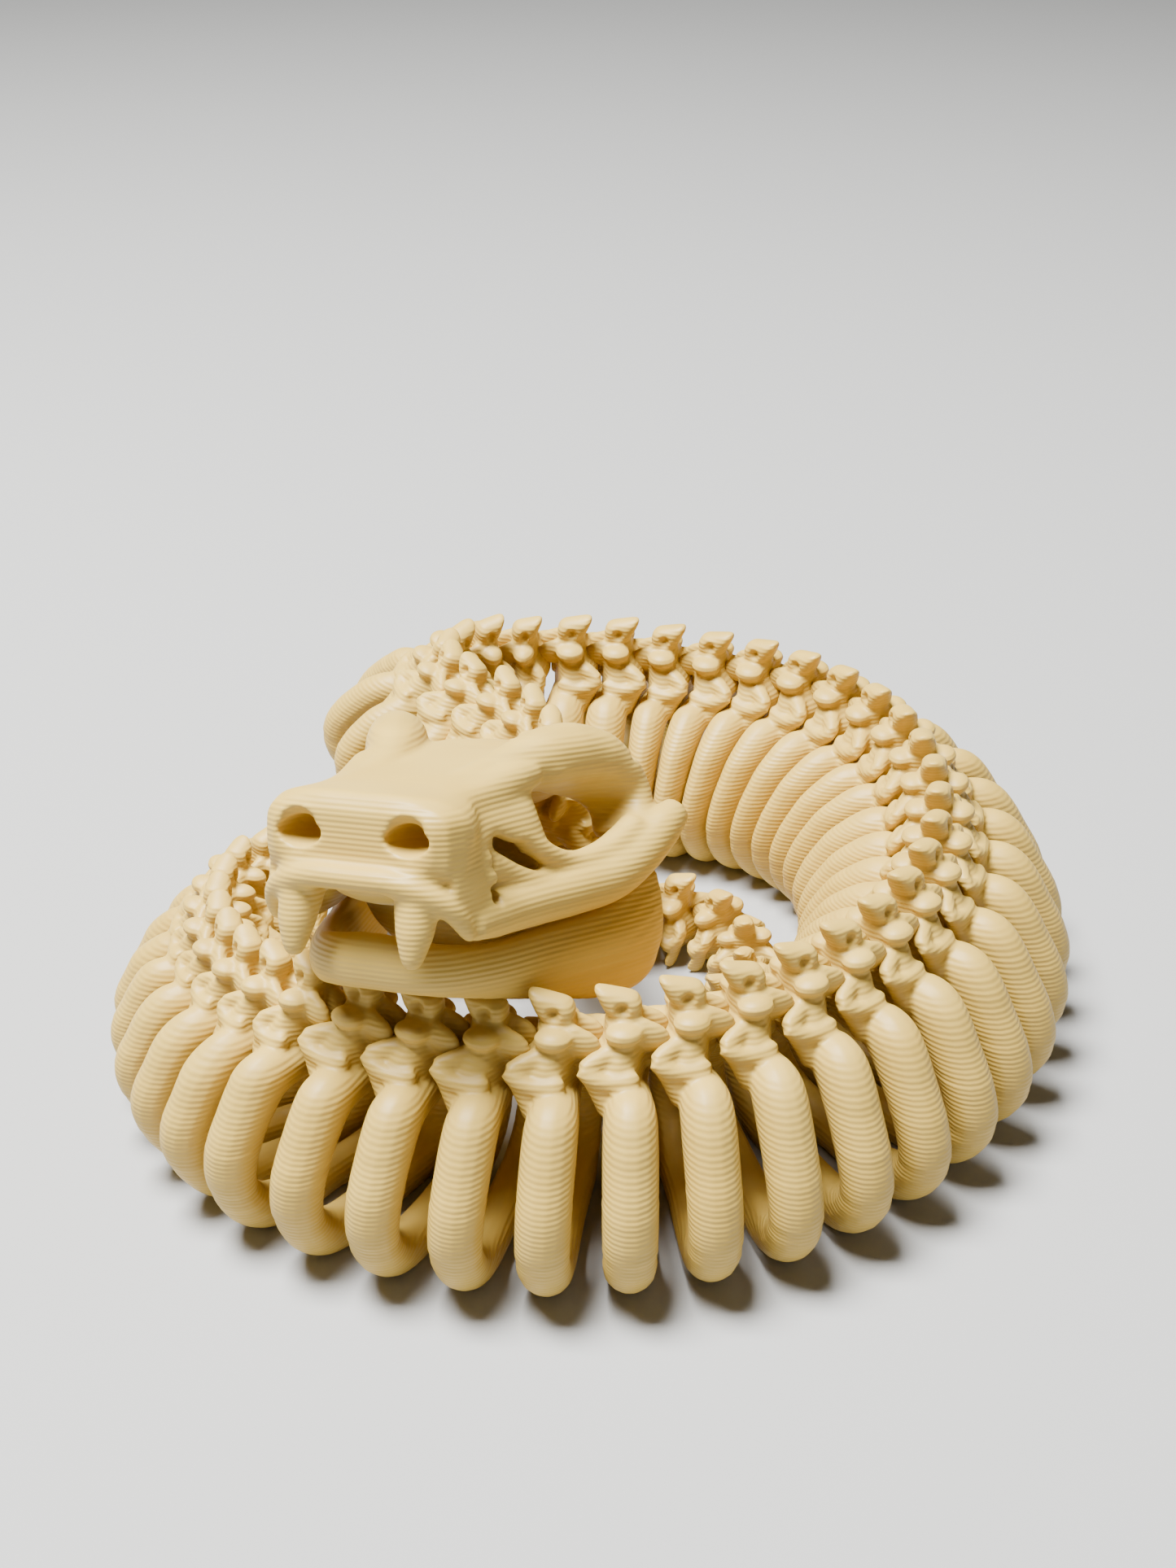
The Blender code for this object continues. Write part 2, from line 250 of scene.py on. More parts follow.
def skirt(levels):
    """A solid drawn down from its top: height, middle along, half length, half width."""
    height, middle, half_length, half_width = levels[0]
    deselect()
    bpy.ops.mesh.primitive_circle_add(
        vertices=32,
        radius=1.0,
        fill_type="NGON",
        location=(middle, 0, height),
    )
    made = bpy.context.object
    bpy.ops.object.transform_apply(location=True, rotation=True, scale=True)
    bpy.ops.object.mode_set(mode="EDIT")
    bpy.ops.mesh.select_all(action="SELECT")
    bpy.ops.transform.resize(
        value=(half_length, half_width, 1), center_override=(middle, 0, height)
    )
    for before, after in zip(levels, levels[1:]):
        drop = (after[1] - before[1], 0, after[0] - before[0])
        bpy.ops.mesh.extrude_region_move(TRANSFORM_OT_translate={"value": drop})
        grow = (after[2] / before[2], after[3] / before[3], 1)
        bpy.ops.transform.resize(value=grow, center_override=(after[1], 0, after[0]))
    bpy.ops.mesh.select_all(action="SELECT")
    bpy.ops.mesh.normals_make_consistent(inside=False)
    bpy.ops.object.mode_set(mode="OBJECT")
    return made


def both_sides(make, *arguments, **options):
    """The same shape on the right and, mirrored, on the left."""
    right = make(*arguments, **options)
    left = right.copy()
    left.data = right.data.copy()
    bpy.context.collection.objects.link(left)
    left.data.transform(Matrix.Scale(-1, 4, (0, 1, 0)))
    left.data.flip_normals()
    return [right, left]


def melt(parts, grain, smoothing):
    """Joins closed shapes into one skin with soft joins."""
    deselect()
    for part in parts:
        part.select_set(True)
    bpy.context.view_layer.objects.active = parts[0]
    bpy.ops.object.join()
    made = bpy.context.object
    remesh = made.modifiers.new("Melt", "REMESH")
    remesh.mode = "VOXEL"
    remesh.voxel_size = grain
    bpy.ops.object.modifier_apply(modifier=remesh.name)
    soften(made, smoothing)
    return made


def soften(obj, rounds, factor=0.5):
    choose(obj)
    smooth = obj.modifiers.new("Soften", "SMOOTH")
    smooth.factor = factor
    smooth.iterations = rounds
    bpy.ops.object.modifier_apply(modifier=smooth.name)


def soften_near(obj, centre, reach, rounds):
    """Softens one place, on both sides, more than the rest."""
    before = corners_of(obj)
    soften(obj, rounds)
    mirrored = before.copy()
    mirrored[:, 1] = np.abs(mirrored[:, 1])
    away = np.linalg.norm(mirrored - np.array(centre), axis=1) / reach
    share = smooth_step(1.0, 0.45, away)[:, None]
    set_corners(obj, before * (1 - share) + corners_of(obj) * share)


def thin(obj, faces):
    """Keeps about so many triangles, most where the surface bends."""
    now = sum(len(face.vertices) - 2 for face in obj.data.polygons)
    if now <= faces:
        return
    choose(obj)
    decimate = obj.modifiers.new("Thin", "DECIMATE")
    decimate.ratio = faces / now
    bpy.ops.object.modifier_apply(modifier=decimate.name)


def carve(obj, cutters):
    """Cuts closed shapes out of a piece."""
    deselect()
    for cutter in cutters:
        cutter.select_set(True)
    bpy.context.view_layer.objects.active = cutters[0]
    if len(cutters) > 1:
        bpy.ops.object.join()
    cutter = bpy.context.object
    choose(obj)
    cut = obj.modifiers.new("Carve", "BOOLEAN")
    cut.operation = "DIFFERENCE"
    cut.solver = "MANIFOLD"
    cut.object = cutter
    bpy.ops.object.modifier_apply(modifier=cut.name)
    bpy.data.objects.remove(cutter, do_unlink=True)


def corners_of(obj):
    places = np.empty(len(obj.data.vertices) * 3, dtype=np.float32)
    obj.data.vertices.foreach_get("co", places)
    return places.reshape(-1, 3).astype(float)


def set_corners(obj, places):
    obj.data.vertices.foreach_set("co", places.astype(np.float32).ravel())
    obj.data.update()


def normals_of(obj):
    ways = np.empty(len(obj.data.vertices) * 3, dtype=np.float32)
    obj.data.vertex_normals.foreach_get("vector", ways)
    return ways.reshape(-1, 3).astype(float)


def dent(obj, centre, radius, depth, way):
    """Pushes a soft round hollow into a surface."""
    places = corners_of(obj)
    far = np.linalg.norm(places - np.array(centre), axis=1) / radius
    share = np.clip(1 - far * far, 0, 1) ** 2
    set_corners(obj, places + np.outer(share * depth, way))


def mark_layers(obj, heights, offset):
    """Keeps each point's printed height, in layers, for the finish."""
    keep_values(obj, "layer", heights / LAYER + offset)


def mark_steepness(obj):
    """Keeps where the surface is steep enough for its printed lines to show."""
    keep_values(obj, "steep", smooth_step(0.04, 0.40, 1 - np.abs(normals_of(obj)[:, 2])))


def keep_values(obj, name, values):
    kept = obj.data.attributes.get(name) or obj.data.attributes.new(name, "FLOAT", "POINT")
    kept.data.foreach_set("value", values.astype(np.float32))


def finish_piece(obj, name, nodes):
    obj.name = name
    obj.data.name = name
    choose(obj)
    bpy.ops.object.shade_smooth()
    obj.data.materials.clear()
    obj.data.materials.append(bone_finish())
    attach(obj, "root")
    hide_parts(*nodes)
    return obj


# ---------------------------------------------------------------- body line
def body_line():
    links = []
    place = Vector(BODY_START)
    heading = BODY_HEADING
    for stretch in STRETCHES:
        turn = math.radians(stretch.turn)
        for i in range(stretch.links):
            if links:
                heading += turn / 2
                place = place + stretch.pitch * Vector((math.cos(heading), math.sin(heading)))
                heading += turn / 2
            share = i / max(stretch.links - 1, 1)
            links.append(
                Link(
                    f"link_{len(links) + 1:02d}_{stretch.name}",
                    place.copy(),
                    heading,
                    math.radians(between(stretch.roll, share)),
                    stretch.pitch,
                    abs(turn),
                    between(stretch.hoop, share),
                    between(stretch.bone, share),
                    between(stretch.tuck, share),
                )
            )
    followers = links[1:] + links[-1:]
    return [
        link._replace(pitch=min(link.pitch, after.pitch), turn=max(link.turn, after.turn))
        for link, after in zip(links, followers)
    ]


def hoop_size(hoop):
    """Reach, depth and thickness share of a hoop."""
    depth = between((SMALL_HOOP_DROP, HOOP_DEPTH), hoop)
    return HOOP_REACH * hoop, depth, between((THINNEST_RIB, 1), hoop)


# ---------------------------------------------------------------- link templates
def model_spine():
    """The flat spine on top, drawn out to a blunt tip towards the tail."""

    def shape(corner):
        caudal = corner.co.x > 0.1
        if corner.co.z > 1.05:
            corner.co.x += 0.24 if caudal else 0.0
            corner.co.z += 0.08 if caudal else -0.10
        else:
            corner.co.x += -0.03 if caudal else 0.0
            corner.co.y *= 1.30

    return slab((0.10, 0, 1.03), (0.58, 0.44, 0.48), 0.18, shape)


def model_vertebra():
    """Spine, collar and waist over a rounded bell; tongues reach to the next link."""
    parts = [model_spine()]
    parts += both_sides(lump, (0.11, 0.40, 0.66), (0.31, 0.26, 0.16))
    parts.append(
        skirt(
            (
                (1.05, 0.09, 0.23, 0.17),
                (0.86, 0.10, 0.28, 0.24),
                (0.78, 0.11, 0.29, 0.30),
                (0.66, 0.11, 0.30, 0.44),
                (0.56, 0.11, 0.29, 0.52),
                (0.47, 0.12, 0.31, 0.57),
                (0.40, 0.14, 0.35, 0.62),
                (0.33, 0.17, 0.39, 0.67),
                (0.25, 0.20, 0.43, 0.72),
                (0.16, 0.22, 0.46, 0.76),
                (0.08, 0.23, 0.47, 0.79),
                (0.00, 0.22, 0.46, 0.80),
                (-0.08, 0.20, 0.44, 0.78),
                (-0.18, 0.17, 0.40, 0.72),
                (-0.36, 0.10, 0.32, 0.60),
            )
        )
    )
    parts += both_sides(
        bar,
        (
            (-0.10, 0.66, 0.10),
            (0.01, 0.73, 0.04),
            (0.20, 0.77, 0.00),
            (0.42, 0.79, 0.02),
            (0.62, 0.78, 0.10),
            (0.80, 0.74, 0.22),
        ),
        (0.12, 0.15, 0.16, 0.15, 0.14, 0.10),
    )
    parts += both_sides(
        bar,
        ((0.28, 0.40, 0.34), (0.52, 0.56, 0.28), (0.76, 0.72, 0.24)),
        (0.18, 0.17, 0.11),
    )
    parts += both_sides(
        bar,
        ((0.70, 0.74, 0.16), (0.52, 0.76, -0.10), (0.32, 0.82, -0.42)),
        (0.11, 0.15, 0.20),
    )
    parts += both_sides(lump, (-0.28, 0.21, 0.52), (0.37, 0.15, 0.27), (0.0, -0.30, 0.0))
    parts += both_sides(lump, (-0.18, 0.20, 0.66), (0.20, 0.13, 0.18))
    parts.append(bar(((-0.34, 0, 0.08), (0.08, 0, 0.08), (0.50, 0, 0.08)), (0.20, 0.28, 0.20)))
    return parts


def model_hoop(hoop):
    reach, depth, size = hoop_size(hoop)
    outer = [
        ((0, reach * aside / HOOP_REACH, -depth * down / HOOP_DEPTH), radius * size)
        for aside, down, radius in HOOP_LINE
    ]
    inner = [((0, -y, z), radius) for (_, y, z), radius in outer]
    knots = outer + list(reversed(inner[:-1]))
    return bar([knot[0] for knot in knots], [knot[1] for knot in knots])


def rib_lines(obj, depth):
    """Raises the uneven printed lines that show on the lower half of the ribs."""
    places = corners_of(obj)
    ways = normals_of(obj)
    random = np.random.default_rng(LINE_SEED)
    lines = np.zeros(len(places))
    for _ in range(UNEVEN_LINES):
        height = random.uniform(-depth - 0.25, -1.0)
        width = random.uniform(*LINE_WIDTHS)
        strength = random.uniform(-LINE_RISE, LINE_RISE) * (0.35 + 0.65 * (-height / depth))
        lines += strength * np.exp(-(((places[:, 2] - height) / width) ** 2))
    flat = 1 - np.abs(ways[:, 2])
    set_corners(obj, places + ways * (lines * flat)[:, None])


def model_link(hoop, grain):
    parts = model_vertebra()
    if hoop > SHORTEST_HOOP:
        parts.append(model_hoop(hoop))
    else:
        parts.append(lump((0, 0, -0.24), (0.30, 0.56, 0.36)))
    made = melt(parts, grain, LINK_SOFTENING)
    along, aside, height = DENT_PLACE
    for side in (-1, 1):
        dent(made, (along, side * aside, height), DENT_RADIUS, DENT_DEPTH, (0, -side, 0))
    if hoop > SHORTEST_HOOP:
        rib_lines(made, hoop_size(hoop)[1])
    thin(made, LINK_FACES)
    mark_steepness(made)
    return made


def fit_link(template, link, number):
    """Copies the template to its place, narrowed where the coil leaves less room."""
    made = template.copy()
    made.data = template.data.copy()
    bpy.context.collection.objects.link(made)
    places = corners_of(made)
    printed = places[:, 2].copy()
    x, y, z = places.T
    bone = link.bone
    _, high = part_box(link.node)
    up_share = smooth_step(*RIB_TO_BONE, z)
    vertebra = places * bone
    if link.hoop > SHORTEST_HOOP:
        closest = nearest_class(link.hoop)
        reach, depth, size = hoop_size(link.hoop)
        reach_there, depth_there, size_there = hoop_size(closest)
        hoop = np.stack((x * size / size_there, y * reach / reach_there, z * depth / depth_there), 1)
        places = vertebra * up_share[:, None] + hoop * (1 - up_share)[:, None]
    else:
        places = vertebra
    sideways = places[:, 1] * math.cos(link.roll) - places[:, 2] * math.sin(link.roll)
    room = link.pitch * math.cos(LINK_TRAIL) + link.turn * sideways - PART_GAP
    rib_share = np.clip(room / RIB_LENGTH, NARROWEST, 1)
    bell_share = np.clip(room / BELL_LENGTH + BELL_LAP, NARROWEST, 1)
    tail_share = min(1, 1 - (BELL_PITCH - link.pitch) * BELL_SQUEEZE)
    bell_share = np.where(places[:, 0] > 0, bell_share * tail_share, bell_share)
    places[:, 0] *= between((rib_share, bell_share), smooth_step(*BELL_LOW, z))
    places[:, 1] *= 1 - link.tuck * smooth_step(*TUCK_FROM, printed)
    lean = max(0, INWARD_LEAN - link.roll) * smooth_step(*LEAN_FROM, z)
    _, y, z = places.T.copy()
    places[:, 1] = y * np.cos(lean) - z * np.sin(lean)
    places[:, 2] = y * np.sin(lean) + z * np.cos(lean)
    turning = Euler((link.roll, 0, link.heading - LINK_TRAIL)).to_matrix()
    top = Vector((SPINE_TOP[0], 0, SPINE_TOP[2] * bone))
    height = high.z / PITCH - (turning @ top).z
    origin = Vector((link.place.x + PLAN_SHIFT[0], link.place.y + PLAN_SHIFT[1], height))
    placed = places @ np.array(turning).T + np.array(origin)
    placed[:, 2] = np.maximum(placed[:, 2], 0)
    set_corners(made, placed * PITCH)
    mark_layers(made, printed, number * LAYER_OFFSET)
    return finish_piece(made, f"printed_{link.node}", [link.node])


def nearest_class(hoop):
    return min(HOOP_CLASSES, key=lambda size: abs(size - hoop))


# ---------------------------------------------------------------- skull
# Sections of the snout and the forehead: along, half width, underside, top.
SNOUT_SECTIONS = (
    (2.98, 1.36, 0.52, 1.40),
    (2.84, 1.58, 0.30, 1.58),
    (2.50, 1.70, 0.05, 1.66),
    (1.98, 1.66, 0.00, 1.64),
    (1.70, 1.46, 0.30, 1.64),
    (1.10, 1.20, 1.00, 1.70),
    (0.20, 1.10, 1.25, 1.73),
    (-0.80, 1.15, 1.35, 1.76),
    (-1.80, 1.10, 1.30, 1.74),
)
# Round bars of the left side: their middle points and the radius at each.
SKULL_BARS = {
    "crest": (
        ((2.66, 0.0, 1.38), (2.62, 0.9, 1.36), (2.42, 1.42, 1.22), (2.20, 1.52, 0.95)),
        (0.29, 0.29, 0.27, 0.22),
    ),
    "lip": (
        (
            (3.08, 0.0, 0.40),
            (3.04, 0.70, 0.38),
            (2.92, 1.18, 0.24),
            (2.70, 1.52, -0.02),
            (2.46, 1.66, -0.38),
            (2.34, 1.68, -0.52),
        ),
        (0.19, 0.20, 0.20, 0.19, 0.14, 0.10),
    ),
    "maxilla": (
        ((1.75, 1.38, 0.62), (1.25, 1.48, 0.30), (0.70, 1.68, 0.02), (0.20, 1.90, -0.12)),
        (0.26, 0.28, 0.26, 0.24),
    ),
    "cheek": (
        (
            (2.26, 1.62, -0.36),
            (1.60, 1.62, -0.34),
            (0.70, 1.80, -0.34),
            (-0.30, 2.12, -0.30),
            (-1.10, 2.42, -0.20),
            (-1.75, 2.66, 0.08),
            (-2.25, 2.86, 0.42),
            (-2.62, 2.98, 0.66),
        ),
        (0.24, 0.36, 0.38, 0.42, 0.44, 0.41, 0.35, 0.26),
    ),
    "brow": (
        (
            (2.10, 1.00, 1.33),
            (1.20, 0.82, 1.40),
            (0.40, 0.88, 1.48),
            (-0.20, 1.08, 1.58),
            (-0.80, 1.36, 1.68),
            (-1.30, 1.60, 1.70),
            (-1.82, 1.90, 1.58),
            (-2.14, 2.14, 1.36),
        ),
        (0.28, 0.31, 0.35, 0.43, 0.52, 0.53, 0.46, 0.35),
    ),
    "rear_post": (
        ((-2.14, 2.16, 1.36), (-2.32, 2.32, 1.05), (-2.24, 2.44, 0.70), (-1.95, 2.52, 0.40)),
        (0.33, 0.26, 0.26, 0.30),
    ),
    "eye_sill": (
        (
            (0.55, 1.62, 0.72),
            (0.20, 1.86, 0.38),
            (-0.30, 2.06, 0.14),
            (-0.85, 2.26, 0.12),
            (-1.40, 2.44, 0.26),
            (-1.85, 2.54, 0.46),
        ),
        (0.21, 0.19, 0.20, 0.24, 0.28, 0.28),
    ),
    "fang": (
        (
            (2.66, 1.00, 0.50),
            (2.78, 1.00, 0.08),
            (2.92, 1.02, -0.38),
            (3.00, 1.02, -0.72),
            (3.02, 1.02, -0.90),
        ),
        (0.38, 0.36, 0.30, 0.20, 0.12),
    ),
    "brow_fill": (
        (
            (2.00, 1.10, 1.34),
            (1.30, 1.12, 1.34),
            (0.65, 1.22, 1.42),
            (0.15, 1.34, 1.50),
            (-0.25, 1.44, 1.54),
        ),
        (0.26, 0.30, 0.32, 0.30, 0.22),
    ),
    "palate_edge": (
        ((2.30, 0.60, 0.20), (1.60, 0.75, 0.15), (0.80, 0.80, 0.30), (0.0, 0.70, 0.60)),
        (0.22, 0.22, 0.24, 0.24),
    ),
}
# Curved plates of the left side: rows of points and the thickness.
SKULL_SHEETS = {
    "eye_front": (
        (
            ((1.95, 1.00, 1.40), (1.90, 1.28, 1.18), (1.85, 1.42, 0.95), (1.80, 1.47, 0.75)),
            ((1.35, 0.98, 1.42), (1.28, 1.28, 1.20), (1.20, 1.46, 0.96), (1.14, 1.54, 0.72)),
            ((0.80, 1.02, 1.48), (0.75, 1.38, 1.24), (0.70, 1.57, 0.92), (0.64, 1.70, 0.62)),
            ((0.35, 1.10, 1.52), (0.34, 1.46, 1.28), (0.34, 1.68, 0.92), (0.28, 1.82, 0.50)),
            ((-0.05, 1.14, 1.56), (0.02, 1.40, 1.30), (0.14, 1.56, 0.92), (0.10, 1.72, 0.46)),
        ),
        0.30,
    ),
    "eye_funnel": (
        (
            ((-0.35, 1.70, 1.62), (-0.50, 1.50, 1.42), (-0.70, 1.25, 1.18)),
            ((-1.05, 1.95, 1.72), (-1.10, 1.70, 1.42), (-1.20, 1.38, 1.10)),
            ((-1.90, 2.18, 1.46), (-1.85, 1.92, 1.15), (-1.80, 1.58, 0.85)),
            ((-2.24, 2.36, 0.85), (-2.15, 2.06, 0.68), (-2.05, 1.72, 0.52)),
            ((-1.90, 2.40, 0.38), (-1.80, 2.10, 0.30), (-1.70, 1.80, 0.22)),
        ),
        0.24,
    ),
    "muzzle_side": (
        (
            ((2.72, 1.36, 1.12), (2.72, 1.48, 0.60), (2.70, 1.52, 0.12), (2.60, 1.54, -0.25)),
            ((2.45, 1.42, 1.14), (2.44, 1.55, 0.60), (2.42, 1.60, 0.05), (2.36, 1.61, -0.42)),
            ((2.15, 1.44, 1.12), (2.12, 1.57, 0.60), (2.10, 1.62, 0.00), (2.08, 1.63, -0.52)),
            ((1.85, 1.40, 1.08), (1.82, 1.54, 0.58), (1.80, 1.60, -0.02), (1.80, 1.62, -0.56)),
        ),
        0.26,
    ),
}
# Rounded masses: middle, radii and turn.
SHELF = ((-2.12, 2.62, 0.50), (0.34, 0.34, 0.22), (0, 0, 0))
CHEEK_PANEL = ((1.15, 1.38, 0.06), (0.85, 0.30, 0.50), (0, 0, -0.25))
BRAINCASE = ((-1.50, 0, 1.22), (1.25, 1.40, 0.56))
PALATE = ((1.25, 0, 0.12), (1.35, 1.25, 0.44))
MOUTH_BACK = ((-0.20, 0, -0.35), (0.85, 1.68, 1.32))
SCALLOPS = (
    (1.78, 1.52, 0.86),
    (1.74, 1.60, 0.58),
    (1.73, 1.66, 0.30),
    (1.73, 1.69, 0.02),
    (1.74, 1.70, -0.26),
)
SCALLOP_RADII = (0.15, 0.16, 0.14)
OCCIPUT = ((-2.55, 0, 0.95), (0.46, 0.50, 0.42))
# Hollows cut into both sides.
NOSTRIL = ((2.90, 0.92, 1.02), (0.62, 0.38, 0.23), (0, 0.10, 0.06))
NOSTRIL_SCOOP = ((3.12, 0.93, 1.15), (0.34, 0.35, 0.20), (0, 0.5, 0))
EYE_SLIT = ((0.90, 1.72, 0.50), (0.68, 0.55, 0.13), (0, -0.57, 0.0))
CHEEK_HOLE = ((1.72, 1.78, 0.03), (0.11, 0.42, 0.17), (0, 0, 0))
SIDE_HOLLOW = ((1.60, 1.86, 0.48), (0.12, 0.32, 0.30), (0, 0.18, 0))
BROW_FRONT = (1.35, 1.25, 1.35)  # where the brow runs softly into the snout
BROW_REACH = 1.15
BROW_SOFTENING = 90
SKULL_SOFTENING = 10
CARVED_SOFTENING = 6
JAW_SOFTENING = 12
JAW_COURSES = (0.05, 0.2, 0.35, 0.5, 0.65, 0.8, 0.95)  # bars stacked into the wall, from its foot
JAW_ROUNDING = 0.35
SNOUT_SQUARENESS = 0.5
JAW_STATIONS = (  # along, aside, underside, top, half wall, from the chin to the rear corner
    (2.34, 0.00, -1.62, -0.50, 0.26),
    (2.22, 0.80, -1.65, -0.60, 0.26),
    (1.60, 1.32, -1.80, -0.72, 0.28),
    (0.20, 1.84, -2.14, -0.66, 0.32),
    (-1.20, 2.34, -2.44, -0.42, 0.38),
    (-1.92, 2.54, -2.36, -0.05, 0.38),
    (-2.26, 2.62, -1.90, -0.10, 0.32),
)


def snout_block():
    along, half_width, low, high = SNOUT_SECTIONS[0]
    deselect()
    bpy.ops.mesh.primitive_circle_add(
        vertices=32,
        radius=1.0,
        fill_type="NGON",
        location=(along, 0, (low + high) / 2),
        rotation=(0, math.pi / 2, 0),
    )
    made = bpy.context.object
    bpy.ops.object.transform_apply(location=True, rotation=True, scale=True)
    for corner in made.data.vertices:
        side = corner.co.y
        rise = corner.co.z - (low + high) / 2
        rounded = math.copysign(abs(rise) ** SNOUT_SQUARENESS, rise)
        corner.co.y = half_width * math.copysign(abs(side) ** SNOUT_SQUARENESS, side)
        corner.co.z = (low + high) / 2 + (high - low) / 2 * rounded
    choose(made)
    bpy.ops.object.mode_set(mode="EDIT")
    bpy.ops.mesh.select_all(action="SELECT")
    for before, after in zip(SNOUT_SECTIONS, SNOUT_SECTIONS[1:]):
        middle_before = (before[2] + before[3]) / 2
        middle = (after[2] + after[3]) / 2
        move = (after[0] - before[0], 0, middle - middle_before)
        bpy.ops.mesh.extrude_region_move(TRANSFORM_OT_translate={"value": move})
        grow = (1, after[1] / before[1], (after[3] - after[2]) / (before[3] - before[2]))
        bpy.ops.transform.resize(value=grow, center_override=(after[0], 0, middle))
    bpy.ops.mesh.select_all(action="SELECT")
    bpy.ops.mesh.normals_make_consistent(inside=False)
    bpy.ops.object.mode_set(mode="OBJECT")
    return made


def skull_pose():
    forward = Vector((-math.sin(SKULL_HEADING), -math.cos(SKULL_HEADING), 0))
    left = Vector((math.cos(SKULL_HEADING), -math.sin(SKULL_HEADING), 0))
    level = Matrix((forward, left, Vector((0, 0, 1)))).transposed()
    tilt = Matrix.Rotation(-SKULL_PITCH, 3, "Y") @ Matrix.Rotation(SKULL_ROLL, 3, "X")
    place = Vector(SKULL_PLACE) + Vector((*PLAN_SHIFT, 0))
    return Matrix.Translation(place * PITCH) @ (level @ tilt).to_4x4() @ Matrix.Scale(PITCH, 4)


def place_on_skull(obj, name, node):
    mark_layers(obj, corners_of(obj)[:, 2], 0)
    mark_steepness(obj)
    obj.data.transform(skull_pose())
    return finish_piece(obj, name, [node])


def model_skull(grain):
    parts = [snout_block()]
    for line, radii in SKULL_BARS.values():
        parts += both_sides(bar, line, radii)
    for rows, thickness in SKULL_SHEETS.values():
        parts += both_sides(sheet, rows, thickness)
    for mass in (SHELF, CHEEK_PANEL):
        parts += both_sides(lump, *mass)
    for place in SCALLOPS:
        parts += both_sides(lump, place, SCALLOP_RADII)
    for mass in (BRAINCASE, PALATE, MOUTH_BACK, OCCIPUT):
        parts.append(lump(*mass))
    made = melt(parts, grain, SKULL_SOFTENING)
    for hollow in (NOSTRIL, NOSTRIL_SCOOP, EYE_SLIT, CHEEK_HOLE, SIDE_HOLLOW):
        carve(made, both_sides(lump, *hollow))
    made = melt([made], grain, CARVED_SOFTENING)
    soften_near(made, BROW_FRONT, BROW_REACH, BROW_SOFTENING)
    thin(made, SKULL_FACES)
    return made


def model_jaw(grain):
    parts = []
    stations = [(x, -y, *rest) for x, y, *rest in reversed(JAW_STATIONS[1:])]
    stations += JAW_STATIONS
    for share in JAW_COURSES:
        line = []
        radii = []
        for x, y, low, high, wall in stations:
            bulge = 1 - JAW_ROUNDING * abs(2 * share - 1) ** 2
            height = low + wall + (high - low - 2 * wall) * share
            line.append((x, y, height))
            radii.append(wall * bulge)
        parts.append(bar(line, radii))
    return melt(parts, grain, JAW_SOFTENING)


# ---------------------------------------------------------------- finish
def bone_finish():
    name = "bone_print"
    if name in bpy.data.materials:
        return bpy.data.materials[name]
    look = bpy.context.scene.skeleton_finish
    material = bpy.data.materials.new(name)
    material.use_nodes = True
    nodes = material.node_tree.nodes
    wire = material.node_tree.links.new
    shader = nodes["Principled BSDF"]
    shader.inputs["Specular IOR Level"].default_value = 0.4
    shader.inputs["Subsurface Weight"].default_value = 0.06
    shader.inputs["Subsurface Radius"].default_value = (1.0, 0.62, 0.3)
    shader.inputs["Subsurface Scale"].default_value = 0.0012

    place = nodes.new("ShaderNodeTexCoord")
    layer = nodes.new("ShaderNodeAttribute")
    layer.attribute_name = "layer"

    clouds = nodes.new("ShaderNodeTexNoise")
    clouds.inputs["Scale"].default_value = CLOUD_SCALE
    clouds.inputs["Detail"].default_value = 4
    wire(place.outputs["Object"], clouds.inputs["Vector"])
    tint = nodes.new("ShaderNodeMixRGB")
    tint.inputs["Color1"].default_value = (*look.colour, 1)
    tint.inputs["Color2"].default_value = (*look.pale_colour, 1)
    wire(clouds.outputs["Fac"], tint.inputs["Fac"])

    streak = nodes.new("ShaderNodeTexNoise")
    streak.noise_dimensions = "1D"
    streak.inputs["Scale"].default_value = STREAK_SCALE
    streak.inputs["Detail"].default_value = 3
    wire(layer.outputs["Fac"], streak.inputs["W"])
    band = nodes.new("ShaderNodeMixRGB")
    band.blend_type = "MULTIPLY"
    band.inputs["Fac"].default_value = STREAK_STRENGTH
    wire(tint.outputs["Color"], band.inputs["Color1"])
    wire(streak.outputs["Fac"], band.inputs["Color2"])
    wire(band.outputs["Color"], shader.inputs["Base Color"])

    rough = nodes.new("ShaderNodeMapRange")
    rough.inputs["To Min"].default_value = look.roughness - SMOOTHER
    rough.inputs["To Max"].default_value = look.roughness + ROUGHER
    wire(clouds.outputs["Fac"], rough.inputs["Value"])
    wire(rough.outputs["Result"], shader.inputs["Roughness"])

    turn = nodes.new("ShaderNodeMath")
    turn.operation = "MULTIPLY"
    turn.inputs[1].default_value = 2 * math.pi
    wire(layer.outputs["Fac"], turn.inputs[0])
    wave = nodes.new("ShaderNodeMath")
    wave.operation = "SINE"
    wire(turn.outputs["Value"], wave.inputs[0])
    steep = nodes.new("ShaderNodeAttribute")
    steep.attribute_name = "steep"
    uneven = nodes.new("ShaderNodeMath")
    uneven.operation = "MULTIPLY_ADD"
    uneven.inputs[1].default_value = LINE_SHARE
    wire(wave.outputs["Value"], uneven.inputs[0])
    wire(streak.outputs["Fac"], uneven.inputs[2])
    lines = nodes.new("ShaderNodeMath")
    lines.operation = "MULTIPLY"
    wire(uneven.outputs["Value"], lines.inputs[0])
    wire(steep.outputs["Fac"], lines.inputs[1])
    bump = nodes.new("ShaderNodeBump")
    bump.inputs["Strength"].default_value = 0.8
    bump.inputs["Distance"].default_value = look.layer_depth
    wire(lines.outputs["Value"], bump.inputs["Height"])
    wire(bump.outputs["Normal"], shader.inputs["Normal"])
    return material


